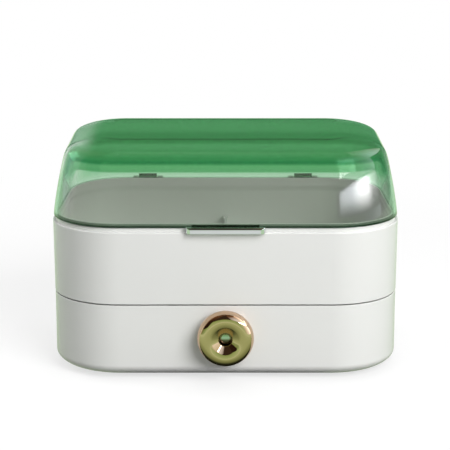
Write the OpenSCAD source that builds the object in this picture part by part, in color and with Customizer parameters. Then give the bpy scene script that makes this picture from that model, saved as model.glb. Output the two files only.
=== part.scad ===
// Two-tier lidded organizer: domed hinged lid over an open tray, one wrap-front drawer below.
// Millimetres. +X is right, -Y is the front, +Z is up, and the origin is at the bottom centre of the
// overall box, with the knob and the hinges.

/* [Body] */
// Width of the body
case_w = 285; // [275:1:305]
// Depth of the body, without the knob and hinges
case_d = 185; // [180:1:200]
// Radius of the body's corners seen from above
corner_r = 56.5; // [54:0.5:58]
// Height of the middle of the line between the tiers
seam_z = 63.4; // [62:0.2:68]
// Height of the upper tier's shoulder
shoulder_z = 123.4; // [120:0.2:132]
// Overall height with the lid shut
top_z = 190.7; // [188:0.1:200]
// Thickness of the moulded outer walls
wall = 3; // [2.8:0.1:3.2]
// Thickness of the floors
floor_t = 2.5; // [2.2:0.1:3]
// Width of the rounding round the bottom edge
round_w = 22.8; // [20:0.2:24]
// Height of the rounding round the bottom edge
round_h = 11; // [9:0.5:12]

/* [Lid] */
// Thickness of the clear lid
lid_t = 2.4; // [2:0.1:2.8]
// How far the lid's wall leans in over its whole height
lid_lean = 12.7; // [10:0.1:14]
// How late the lean begins, 1 is a straight slope
lean_p = 1.28; // [1:0.02:1.4]
// Width of the rounding between the lid's wall and the flat middle of its top
crown_w = 33; // [28:0.5:36]
// Sharpness of that rounding, higher is tighter
crown_p = 18.5; // [14:0.5:22]

/* [Drawer] */
// Room at each side of the drawer box, out to the outside of the body
side_room = 15; // [14:0.5:20]
// How far the drawer slides out
travel = 95; // [80:1:98]
// Thickness of the drawer box
box_t = 2; // [1.8:0.1:2.4]

/* [Knob and pull] */
// Outside diameter of the ring knob
knob_d = 45.7; // [42:0.1:47]
// Diameter of the knob's hole
knob_hole_d = 10.9; // [9.5:0.1:12]
// Height of the knob's centre
knob_z = 38.4; // [36:0.2:40]
// Width of the lid's pull
pull_w = 63.2; // [58:0.2:70]
// Height of the lid's pull
pull_h = 4.8; // [4.7:0.1:5.4]
// How far the pull stands in front of the body
pull_reach = 5.8; // [5.4:0.1:7]

/* [Hinges] */
// Distance of each hinge from the middle
hinge_x = 70; // [45:1:72]
// Diameter of the hinge pins
pin_d = 3; // [2.5:0.1:3]
// Length of the lid's knuckle
knuckle_l = 16; // [12:0.5:18]

/* [Dividers] */
// Height of the lift-out dividers
divider_h = 26; // [20:0.5:30]
// Thickness of the dividers
divider_t = 2; // [1.6:0.1:2.4]
// Distance of the long divider behind the middle
divider_y = 18; // [5:1:30]
// Distance of the front cross dividers from the middle
divider_x = 46; // [36:1:60]

/* [Hidden] */
$fn = 96;
foot_h = 1;              // the pads hold the body this far up
foot_r = 9;
foot_seat = 1;           // depth of each pad's recess
foot_cham = 0.6;
fit_gap = 0.1;           // round a pad or a strip in its recess
seam_gap = 1;            // open line between the tiers
seat_gap = 0.2;          // between two pieces that rest on each other
side_gap = 0.3;          // between two faces side by side
rail_gap = 0.4;          // between the drawer box and its side rails
bore_gap = 0.05;         // radial, the knuckle on its pin
press_gap = 0.02;        // radial, the pin in the tray's ears
hole_gap = 0.2;          // radial, a screw in its through hole
front_gap = 0.8;         // between the drawer's front and the side walls
lower_in = 0.6;          // the lower tier stands this far inside the upper one
draft = 0.45;            // the upper tier narrows by this down to the seam
skirt_t = 1.4;
upstand_in = draft + skirt_t + 0.25;    // the base's upstand inside the tray's skirt
tray_round = 3.5;        // between the tray's walls and its floor
base_z = foot_h;
lower_top = seam_z - seam_gap / 2;
skirt_z = seam_z + seam_gap / 2;
tray_z = seam_z + 2.6;   // underside of the tray's floor
tray_top = tray_z + floor_t;
rim_z = shoulder_z + 3.5;
lid_z = rim_z + seat_gap;
lid_in = 0.7;
crown_q = 1.15;
band_in = 2;             // the band under the lid stands this far in
lip_in = lid_in + lid_t + 1.2;
lip_h = 3;
lip_t = 1.4;
tray_in = wall + draft;  // inner face of the tray's wall
corner_x = case_w / 2 - corner_r;
corner_y = case_d / 2 - corner_r;
front_y = -case_d / 2 + lower_in;
floor_in = lower_in + round_w + 1;
boss_r = 4.2;
boss_out = 0.79 * corner_r;    // the rear bosses, from the middle of the rear corners
boss_in = 10;            // the side bosses, from the outside of the body
boss_back = 12;          // the side bosses, behind the front corners
web_t = 2;
screw_r = 1.5;
pilot_r = 1.3;
screw_l = 11;            // a tier screw, under its head
bosses = [[corner_x + boss_out * cos(46), corner_y + boss_out * sin(46)],
    [case_w / 2 - boss_in, -corner_y + boss_back]];
foot_out = [13, 12];     // the pads, from the middle of each corner
foot_at = [[corner_x + foot_out[0], corner_y + foot_out[1]],
    [corner_x + foot_out[0], -corner_y - foot_out[1]]];
strip_x = 70;
strip_y = 6;
strip_w = 10;
strip_l = 130;
strip_h = 0.8;           // a strip's half height, above and below the floor's face
box_w = case_w - 2 * side_room;
box_tight = 11.5;        // the drawer box's corners are this much tighter than the body's
box_r = corner_r - box_tight;
box_x = box_w / 2 - box_r;
back_room = 22;          // behind the drawer box
front_room = 7.4;        // from the drawer's face to its box
box_front = front_y + front_room;
box_back = case_d / 2 - back_room;
box_z = base_z + floor_t + 1;
box_top = lower_top - 2;
box_round = 9;
panel_t = 2.8;
panel_holes = [[60, 22], [60, 50], [-60, 22], [-60, 50]];
panel_screw_l = 7;
standoff_r = 4;          // behind the drawer's front, at each screw
knob_boss_r = 7;
pilot_l = 8;
hook_w = 24;             // the drawer's stop, which meets a rib under the tray
hook_h = 3;
stop_w = 1.25 * hook_w;
stop_h = 3.5;
rail_t = 2.2;
rail_h = 8;
cap_z = 1.6;             // the knob cap's seat, behind the middle of the ring
knob_screw_r = 2;
washer_t = 1;
minor_r = (knob_d - knob_hole_d) / 4;
major_r = knob_hole_d / 2 + minor_r;
knob_y = front_y - 0.8 - minor_r;
pull_back = case_d / 2 + side_gap;
pull_z = shoulder_z + seat_gap;
pull_wall = 1.8;         // in front of the lid's tongue
pull_r = 4;
pull_bevel = [1.5, 1.3]; // back and down, along its top front edge
pull_screw_y = -pull_back - 2.2;
tongue_side = 4.5;       // the pull runs on past each end of the tongue
tongue_w = pull_w - 2 * tongue_side;
tongue_t = 2.5;
tongue_z = pull_z + 1.55;
tongue_gap = 0.05;       // round the tongue in the pull
tongue_y = -case_d / 2 - pull_reach + pull_wall;
root_y = -case_d / 2 + 1.5;
thread_r = 0.8;          // a pull screw, in the tongue
knuckle_r = pin_d / 2 + 1.7;
ear_l = 5;
ear_h = 17;              // how far an ear's root runs down the wall
ear_gap = 0.4;
hinge_y = case_d / 2 - side_gap + knuckle_r;
hinge_z = rim_z + 0.5;
pin_l = knuckle_l + 2 * (ear_gap + ear_l) + 0.8;
pin_cham = 0.4;
slot_t = divider_t + 0.3;
rib_t = 1.2;
rib_h = 2;
rib_short = 3;           // a floor rib stops this far from the wall ribs
divider_in = lip_in + lip_t + side_gap;    // a divider's ends clear the lip as it lifts out
long_half = case_w / 2 - divider_in;
rib_grip = 3;
rib_l = divider_in + rib_grip - tray_in + 0.5;
rib_mid = tray_in - 0.5 + rib_l / 2;
origin_y = (-knob_y + minor_r - hinge_y - knuckle_r) / 2;

// Sections are lists of [distance in from the outline, height].
function arc_down(i, z, w, h, n) =
    [for (k = [0:n]) [i + w * (1 - cos(90 * k / n)), z - h * sin(90 * k / n)]];
function back(list) = [for (k = [len(list) - 1:-1:0]) list[k]];
function dome(i, high, crown, n) =
    [for (k = [0:n]) let (u = sin(90 * k / n))
        [i + lid_lean * pow(u, lean_p) + crown * (1 - pow(max(1 - pow(u, crown_p), 0), 1 / crown_q)),
         lid_z + (high - lid_z) * u]];

lower_out = arc_down(lower_in, base_z + round_h, round_w, round_h, 7);
base_section = concat(
    [[lower_in, lower_top]],
    lower_out,
    [[floor_in, base_z], [floor_in, base_z + floor_t]],
    back(arc_down(lower_in + wall, base_z + floor_t + round_h - 1, floor_in - lower_in - wall - 1,
        round_h - 1, 7)),
    [[lower_in + wall, tray_z], [upstand_in, tray_z], [upstand_in, lower_top]]);
panel_section = concat(
    [[lower_in + 0.3, lower_top], [lower_in, lower_top - 0.5]],
    lower_out,
    back(arc_down(lower_in + panel_t, base_z + round_h + 0.7, round_w - panel_t, round_h - 1.5, 7)),
    [[lower_in + panel_t, lower_top]]);
tray_section = concat(
    [[draft, skirt_z], [0, shoulder_z - 1], [0.3, shoulder_z - 0.3], [1, shoulder_z],
     [band_in, shoulder_z], [band_in, rim_z], [lip_in, rim_z], [lip_in, rim_z + lip_h],
     [lip_in + lip_t, rim_z + lip_h], [lip_in + lip_t, shoulder_z - 1],
     [tray_in, shoulder_z - 5]],
    arc_down(tray_in, tray_top + tray_round, tray_round, tray_round, 4),
    [[tray_in + tray_round, tray_z], [draft + skirt_t, tray_z], [draft + skirt_t, skirt_z]]);
lid_section = concat(
    dome(lid_in, top_z, crown_w, 16),
    back(dome(lid_in + lid_t, top_z - lid_t, crown_w - lid_t, 16)));
box_section = concat(
    [[0, box_top], [box_t, box_top]],
    arc_down(box_t, box_z + box_round, box_round - box_t, box_round - box_t, 5),
    back(arc_down(0, box_z + box_round, box_round, box_round, 5)));

module outline(inset) {
    for (sx = [-1, 1], sy = [-1, 1])
        translate([sx * corner_x, sy * corner_y]) circle(r = corner_r - inset);
    square([2 * corner_x, case_d - 2 * inset], center = true);
    square([case_w - 2 * inset, 2 * corner_y], center = true);
}

module box_outline(inset) {
    low = box_front + box_r;
    high = box_back - box_r;
    for (sx = [-1, 1], y = [low, high])
        translate([sx * box_x, y]) circle(r = box_r - inset);
    translate([-box_x, box_front + inset]) square([2 * box_x, box_back - box_front - 2 * inset]);
    translate([-box_w / 2 + inset, low]) square([box_w - 2 * inset, high - low]);
}

// One corner of a swept section, a quarter turn that starts at the angle turn.
module corner(section, r, x, y, turn) {
    translate([x, y, 0]) rotate([0, 0, turn]) rotate_extrude(angle = 90)
        polygon([for (p = section) [r - p[0], p[1]]]);
}

// One straight side of a swept section. At turn 0 it faces +X and runs towards -Y from [x, y].
module side(section, r, x, y, turn, length) {
    translate([x, y, 0]) rotate([0, 0, turn]) rotate([90, 0, 0]) linear_extrude(length)
        polygon([for (p = section) [r - p[0], p[1]]]);
}

module ring(section, r, x, low, high) {
    corner(section, r, x, high, 0);
    corner(section, r, -x, high, 90);
    corner(section, r, -x, low, 180);
    corner(section, r, x, low, 270);
    side(section, r, x, high, 0, high - low);
    side(section, r, -x, high, 90, 2 * x);
    side(section, r, -x, low, 180, high - low);
    side(section, r, x, low, 270, 2 * x);
}

// A round-headed cross-slot screw: its head's seat is at z = 0 and its shank runs down.
module screw(shank_r, length, head_r, head_h) {
    difference() {
        rotate_extrude()
            polygon([[0, -length], [shank_r * 0.6, -length], [shank_r, -length + shank_r], [shank_r, 0],
                     [head_r, 0], [head_r, head_h * 0.45], [head_r * 0.75, head_h], [0, head_h]]);
        for (a = [0, 90])
            rotate([0, 0, a]) translate([-head_r * 0.55, -head_r * 0.12, head_h * 0.45])
                cube([head_r * 1.1, head_r * 0.24, head_h]);
    }
}

// Puts a child drawn up the Z axis on the drawer's front wall, pointing out of the drawer's back.
module on_front(x, y, z) {
    translate([x, y, z]) rotate([-90, 0, 0]) children();
}

// Every node is drawn about the middle of the body and moved to the part's own origin.
module placed() {
    translate([0, origin_y, 0]) children();
}

module base_shell() {
    color([0.9, 0.9, 0.89]) placed() difference() {
        union() {
            translate([0, 0, base_z]) linear_extrude(floor_t) outline(floor_in);
            corner(base_section, corner_r, corner_x, corner_y, 0);
            corner(base_section, corner_r, -corner_x, corner_y, 90);
            side(base_section, corner_r, -corner_x, corner_y, 90, 2 * corner_x);
            side(base_section, corner_r, corner_x, corner_y, 0, 2 * corner_y - front_gap);
            side(base_section, corner_r, -corner_x, -corner_y + front_gap, 180,
                2 * corner_y - front_gap);
            base_inside();
        }
        for (p = bosses, s = [-1, 1])
            translate([s * p[0], p[1], tray_z - screw_l - 1]) cylinder(r = pilot_r, h = screw_l + 2);
        for (s = [-1, 1])
            translate([s * strip_x - strip_w / 2 - fit_gap, strip_y - strip_l / 2 - fit_gap,
                       base_z + floor_t - strip_h])
                cube([strip_w + 2 * fit_gap, strip_l + 2 * fit_gap, 2 * strip_h]);
        for (p = foot_at, s = [-1, 1])
            translate([s * p[0], p[1], 0]) cylinder(r = foot_r + fit_gap, h = base_z + foot_seat);
    }
}

// Screw bosses, their webs and the drawer's side rails, trimmed to the inside of the wall.
module base_inside() {
    solid = concat([[upstand_in + 0.1, tray_z]],
        arc_down(upstand_in + 0.1, base_z + round_h + 0.5, round_w, round_h, 7),
        [[corner_r - 1, base_z + 0.5], [corner_r - 1, tray_z]]);
    intersection() {
        union() {
            corner(solid, corner_r, corner_x, corner_y, 0);
            corner(solid, corner_r, -corner_x, corner_y, 90);
            side(solid, corner_r, corner_x, corner_y, 0, 2 * corner_y - front_gap);
            side(solid, corner_r, -corner_x, -corner_y + front_gap, 180, 2 * corner_y - front_gap);
        }
        for (s = [-1, 1]) {
            for (p = bosses) translate([s * p[0], p[1], base_z]) cylinder(r = boss_r, h = tray_z - base_z);
            translate([s * (bosses[1][0] + boss_in / 2), bosses[1][1], tray_z / 2])
                cube([boss_in, web_t, tray_z], center = true);
            translate([s * bosses[0][0], bosses[0][1] + 2 * boss_r, tray_z / 2])
                cube([web_t, 4 * boss_r, tray_z], center = true);
            translate([s * (box_w / 2 + rail_gap + rail_t / 2), (box_back - box_r - corner_y) / 2,
                       (base_z + box_z + rail_h) / 2])
                cube([rail_t, box_back - box_r + corner_y - 3, box_z + rail_h - base_z],
                    center = true);
        }
    }
}

module foot_pads() {
    color([0.25, 0.25, 0.26]) placed() for (p = foot_at, s = [-1, 1]) translate([s * p[0], p[1], 0]) {
        cylinder(r1 = foot_r - foot_cham, r2 = foot_r, h = foot_cham);
        translate([0, 0, foot_cham]) cylinder(r = foot_r, h = base_z + foot_seat - foot_cham);
    }
}

module glide_strips() {
    color([0.96, 0.96, 0.95]) placed() for (s = [-1, 1])
        translate([s * strip_x - strip_w / 2, strip_y - strip_l / 2, base_z + floor_t - strip_h])
            cube([strip_w, strip_l, 2 * strip_h]);
}

module tier_screws() {
    color([0.75, 0.76, 0.78]) placed() for (p = bosses, s = [-1, 1])
        translate([s * p[0], p[1], tray_top])
            screw(pilot_r, screw_l, 1.85 * pilot_r, 1.5 * pilot_r);
}

module upper_tray() {
    color([0.9, 0.9, 0.89]) placed() difference() {
        union() {
            ring(tray_section, corner_r, corner_x, -corner_y, corner_y);
            translate([0, 0, tray_z]) linear_extrude(floor_t) outline(tray_in + tray_round);
            tray_ribs();
            translate([-stop_w / 2, box_back - travel - box_t - side_gap - web_t, tray_z - stop_h])
                cube([stop_w, web_t, stop_h + 0.5]);
            for (s = [-1, 1], e = [-1, 1])
                translate([s * hinge_x + e * (knuckle_l + ear_l + 2 * ear_gap) / 2 - ear_l / 2, 0, 0])
                    ear();
        }
        for (p = bosses, s = [-1, 1])
            translate([s * p[0], p[1], tray_z - 1]) cylinder(r = screw_r + hole_gap, h = floor_t + 2);
    }
}

module ear() {
    root = case_d / 2 - 1.5;
    rotate([90, 0, 90]) linear_extrude(ear_l) difference() {
        union() {
            translate([hinge_y, hinge_z]) circle(r = knuckle_r);
            polygon([[root, hinge_z - ear_h], [hinge_y + knuckle_r, hinge_z - ear_h / 2],
                     [hinge_y + knuckle_r, hinge_z], [hinge_y - knuckle_r, hinge_z],
                     [hinge_y - knuckle_r, shoulder_z - 1.5], [root, shoulder_z - 1.5]]);
        }
        translate([hinge_y, hinge_z]) circle(r = pin_d / 2 + press_gap);
    }
}

// Low ribs on the tray's floor and walls that hold the dividers upright.
module tray_ribs() {
    step = (slot_t + rib_t) / 2;
    front_run = case_d / 2 + divider_y - tray_in - slot_t;
    rear_run = case_d / 2 - divider_y - tray_in - slot_t;
    for (e = [-1, 1]) {
        translate([0, divider_y + e * step, tray_top])
            cube([2 * (long_half - rib_short), rib_t, 2 * rib_h], center = true);
        for (s = [-1, 1]) {
            translate([s * divider_x + e * step, divider_y - slot_t - front_run / 2, tray_top])
                cube([rib_t, front_run - 2 * rib_short, 2 * rib_h], center = true);
            translate([s * (case_w / 2 - rib_mid), divider_y + e * step, tray_top + divider_h / 2])
                cube([rib_l, rib_t, divider_h], center = true);
            translate([s * divider_x + e * step, -case_d / 2 + rib_mid, tray_top + divider_h / 2])
                cube([rib_t, rib_l, divider_h], center = true);
        }
        translate([e * step, divider_y + slot_t + rear_run / 2, tray_top])
            cube([rib_t, rear_run - 2 * rib_short, 2 * rib_h], center = true);
        translate([e * step, case_d / 2 - rib_mid, tray_top + divider_h / 2])
            cube([rib_t, rib_l, divider_h], center = true);
    }
}

// A divider standing on z = 0 with its length along X and its two top corners cut off.
module divider(length) {
    top_cut = 3;
    edge = [[top_cut, divider_h], [0, divider_h - top_cut], [0, tray_round + 0.5],
            [tray_round + 0.5, 0]];
    rotate([90, 0, 0]) translate([0, 0, -divider_t / 2]) linear_extrude(divider_t)
        polygon([for (s = [-1, 1], p = s < 0 ? edge : back(edge)) [s * (length / 2 - p[0]), p[1]]]);
}

module cross_divider(x, from, to) {
    translate([x, (from + to) / 2, tray_top]) rotate([0, 0, 90]) divider(to - from);
}

module divider_long() {
    color([0.93, 0.94, 0.94]) placed() translate([0, divider_y, tray_top]) divider(2 * long_half);
}

module divider_front_left() {
    color([0.93, 0.94, 0.94]) placed()
        cross_divider(-divider_x, -case_d / 2 + divider_in, divider_y - divider_t / 2 - side_gap);
}

module divider_front_right() {
    color([0.93, 0.94, 0.94]) placed()
        cross_divider(divider_x, -case_d / 2 + divider_in, divider_y - divider_t / 2 - side_gap);
}

module divider_rear() {
    color([0.93, 0.94, 0.94]) placed()
        cross_divider(0, divider_y + divider_t / 2 + side_gap, case_d / 2 - divider_in);
}

module lid_shell() {
    color([0.75, 0.88, 0.78, 0.4]) placed() {
        ring(lid_section, corner_r, corner_x, -corner_y, corner_y);
        translate([0, 0, top_z - lid_t]) linear_extrude(lid_t) outline(lid_in + lid_lean + crown_w);
        translate([0, 0, top_z - 0.75 * lid_t]) linear_extrude(lid_t / 2)
            outline(lid_in + lid_lean + crown_w - lid_t);
        for (s = [-1, 1])
            translate([s * hinge_x - knuckle_l / 2, 0, 0]) rotate([90, 0, 90]) linear_extrude(knuckle_l)
                knuckle();
        difference() {
            rotate([90, 0, 90]) translate([0, 0, -tongue_w / 2]) linear_extrude(tongue_w)
                polygon([[root_y, tongue_z], [tongue_y, tongue_z], [tongue_y, tongue_z + tongue_t],
                         [-pull_back + side_gap, tongue_z + tongue_t],
                         [root_y - 0.5, lid_z + tongue_t], [root_y, lid_z + tongue_t]]);
            for (s = [-1, 1])
                translate([s * pull_w / 4, pull_screw_y, tongue_z - 1])
                    cylinder(r = thread_r + tongue_gap, h = tongue_t + 0.5);
        }
    }
}

module knuckle() {
    root = case_d / 2 - lid_in - lid_t + 0.2;
    difference() {
        union() {
            translate([hinge_y, hinge_z]) circle(r = knuckle_r);
            polygon([[root, lid_z], [hinge_y, lid_z], [hinge_y, hinge_z + knuckle_r],
                     [root, hinge_z + 2 * knuckle_r]]);
        }
        translate([hinge_y, hinge_z]) circle(r = pin_d / 2 + bore_gap);
    }
}

module hinge_pins() {
    color([0.8, 0.81, 0.83]) placed() for (s = [-1, 1])
        translate([s * hinge_x - pin_l / 2, hinge_y, hinge_z]) rotate([0, 90, 0]) {
            cylinder(r = pin_d / 2, h = pin_l - pin_cham);
            translate([0, 0, pin_l - pin_cham])
                cylinder(r1 = pin_d / 2, r2 = pin_d / 2 - pin_cham, h = pin_cham);
        }
}

module lid_pull() {
    reach = pull_back + pull_reach - side_gap;
    color([0.85, 0.86, 0.88]) placed() difference() {
        translate([0, 0, pull_z]) linear_extrude(pull_h) intersection() {
            union() {
                for (s = [-1, 1])
                    translate([s * (pull_w / 2 - pull_r), -reach + pull_r]) circle(r = pull_r);
                translate([-pull_w / 2 + pull_r, -reach]) square([pull_w - 2 * pull_r, 2 * pull_r]);
                translate([-pull_w / 2, -reach + pull_r]) square([pull_w, pull_r]);
            }
            translate([-pull_w / 2 - 1, -reach - 1]) square([pull_w + 2, reach - pull_back + 1]);
        }
        translate([-tongue_w / 2 - tongue_gap, tongue_y - tongue_gap, tongue_z - tongue_gap])
            cube([tongue_w + 2 * tongue_gap, reach, tongue_t + 2 * tongue_gap]);
        rotate([90, 0, 90]) translate([-reach, pull_z + pull_h, -pull_w / 2 - 1]) linear_extrude(pull_w + 2)
            polygon([for (k = [[-0.2, -1.2], [1.2, 0.2], [-0.2, 0.2]])
                [k[0] * pull_bevel[0], k[1] * pull_bevel[1]]]);
        for (s = [-1, 1])
            translate([s * pull_w / 4, pull_screw_y, pull_z - 1])
                cylinder(r = thread_r + 0.3, h = tongue_z - pull_z + 2);
    }
}

module pull_screws() {
    color([0.75, 0.76, 0.78]) placed() for (s = [-1, 1])
        translate([s * pull_w / 4, pull_screw_y, pull_z + 0.1]) {
            cylinder(r = thread_r + 0.25, h = 1.3);
            cylinder(r = thread_r, h = 3.2);
        }
}

module drawer_box() {
    color([0.9, 0.9, 0.89]) placed() difference() {
        union() {
            ring(box_section, box_r, box_x, box_front + box_r, box_back - box_r);
            translate([0, 0, box_z]) linear_extrude(box_t) box_outline(box_round);
            translate([-hook_w / 2, box_back - box_t, box_top - 3])
                cube([hook_w, box_t, tray_z - 1.5 - box_top + hook_h]);
        }
        for (p = panel_holes) on_front(p[0], box_front - 1, p[1]) cylinder(r = screw_r + hole_gap, h = 6);
        on_front(0, box_front - 1, knob_z) cylinder(r = knob_screw_r + hole_gap, h = 6);
    }
}

// The front wraps round both front corners and closes the top of the corners with a deck.
module drawer_front() {
    color([0.9, 0.9, 0.89]) placed() difference() {
        union() {
            corner(panel_section, corner_r, -corner_x, -corner_y, 180);
            corner(panel_section, corner_r, corner_x, -corner_y, 270);
            side(panel_section, corner_r, corner_x, -corner_y, 270, 2 * corner_x);
            translate([0, 0, box_top]) linear_extrude(lower_top - box_top) difference() {
                outline(lower_in + panel_t - 0.4);
                box_outline(box_t);
                translate([-case_w, -corner_y]) square([2 * case_w, case_d]);
            }
            for (p = panel_holes) on_front(p[0], front_y + panel_t - 0.5, p[1])
                cylinder(r = standoff_r, h = box_front - front_y - panel_t + 0.5);
            on_front(0, front_y + panel_t - 0.5, knob_z)
                cylinder(r = knob_boss_r, h = box_front - front_y - panel_t + 0.5);
        }
        for (p = panel_holes) on_front(p[0], front_y + 1.4, p[1]) cylinder(r = pilot_r, h = pilot_l);
        on_front(0, front_y - 1, knob_z) cylinder(r = knob_screw_r + hole_gap, h = 4 * panel_t);
    }
}

module panel_screws() {
    color([0.75, 0.76, 0.78]) placed() for (p = panel_holes) on_front(p[0], box_front + box_t, p[1])
        screw(pilot_r, panel_screw_l, 2.2 * pilot_r, 1.6 * pilot_r);
}

module knob_ring() {
    color([0.83, 0.68, 0.5]) placed() difference() {
        union() {
            on_front(0, knob_y, knob_z) rotate_extrude() translate([major_r, 0]) circle(r = minor_r);
            on_front(0, knob_y, knob_z) cylinder(r = major_r - 1, h = front_y - knob_y);
        }
        on_front(0, knob_y - minor_r, knob_z) cylinder(r = knob_hole_d / 2, h = minor_r + cap_z);
        on_front(0, knob_y, knob_z) cylinder(r = knob_screw_r + bore_gap, h = 2 * major_r);
    }
}

module knob_cap() {
    cap_r = knob_hole_d / 2 - fit_gap;
    color([0.6, 0.66, 0.63]) placed()
        on_front(0, knob_y + cap_z, knob_z) rotate([180, 0, 0]) rotate_extrude()
        polygon(concat([[0, 0], [cap_r, 0]],
            [for (k = [0:6]) [cap_r * cos(15 * k), 1.2 + 2.4 * sin(15 * k)]]));
}

module knob_washer() {
    color([0.75, 0.76, 0.78]) placed() on_front(0, box_front + box_t, knob_z) difference() {
        cylinder(r = 5.5, h = washer_t);
        translate([0, 0, -1]) cylinder(r = knob_screw_r + 0.15, h = washer_t + 2);
    }
}

module knob_screw() {
    color([0.75, 0.76, 0.78]) placed() on_front(0, box_front + box_t + washer_t, knob_z)
        screw(knob_screw_r, box_front + box_t + washer_t - knob_y - cap_z - 0.4, 3.9, 2.6);
}

base_shell();
foot_pads();
glide_strips();
tier_screws();
upper_tray();
divider_long();
divider_front_left();
divider_front_right();
divider_rear();
lid_shell();
hinge_pins();
lid_pull();
pull_screws();
drawer_box();
drawer_front();
panel_screws();
knob_ring();
knob_cap();
knob_washer();
knob_screw();
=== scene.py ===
import math
import bmesh
import bpy
from mathutils import Matrix, Vector


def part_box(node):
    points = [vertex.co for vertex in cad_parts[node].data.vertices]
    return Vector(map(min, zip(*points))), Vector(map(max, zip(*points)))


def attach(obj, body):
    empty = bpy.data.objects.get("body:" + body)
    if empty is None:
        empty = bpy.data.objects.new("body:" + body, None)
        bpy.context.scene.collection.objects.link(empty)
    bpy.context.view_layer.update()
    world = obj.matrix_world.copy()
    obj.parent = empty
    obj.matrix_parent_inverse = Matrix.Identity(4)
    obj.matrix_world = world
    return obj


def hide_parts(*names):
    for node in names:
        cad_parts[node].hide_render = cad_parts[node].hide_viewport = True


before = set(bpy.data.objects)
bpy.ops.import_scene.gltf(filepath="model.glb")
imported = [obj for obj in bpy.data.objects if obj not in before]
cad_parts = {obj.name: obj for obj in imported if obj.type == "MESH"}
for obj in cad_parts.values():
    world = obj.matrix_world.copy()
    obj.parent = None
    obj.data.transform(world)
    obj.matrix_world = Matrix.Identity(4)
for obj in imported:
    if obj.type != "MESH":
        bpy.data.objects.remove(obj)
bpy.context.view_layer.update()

print("frame loaded:", len(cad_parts), "CAD nodes")


# the camera
view = {"place": (-0.0004, -1.3280, 0.4320), "tilt": 13.68, "lens": 128.8, "sensor": 36, "nearest": 0.05}

camera = bpy.data.objects.new("camera", bpy.data.cameras.new("camera"))
camera.location = view["place"]
camera.rotation_euler = (math.radians(90 - view["tilt"]), 0, 0)
camera.data.lens = view["lens"]
camera.data.sensor_width = view["sensor"]
camera.data.clip_start = view["nearest"]
bpy.context.scene.collection.objects.link(camera)
bpy.context.scene.camera = camera
bpy.context.scene.view_settings.view_transform = "Standard"


def linearColour(hexText):
    channels = [int(hexText[i:i + 2], 16) / 255 for i in (1, 3, 5)]
    return tuple(c / 12.92 if c <= 0.04045 else ((c + 0.055) / 1.055) ** 2.4 for c in channels) + (1,)


def addNode(tree, kind, settings=None, values=None, links=None):
    node = tree.nodes.new(kind)
    for name, value in (settings or {}).items():
        setattr(node, name, value)
    for socket, value in (values or {}).items():
        node.inputs[socket].default_value = value
    for socket, source in (links or {}).items():
        tree.links.new(source, node.inputs[socket])
    return node


def fillStops(ramp, stops):
    for index, (position, colour) in enumerate(stops):
        stop = ramp.color_ramp.elements[index] if index < 2 else ramp.color_ramp.elements.new(position)
        stop.position = position
        stop.color = linearColour(colour)


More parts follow.
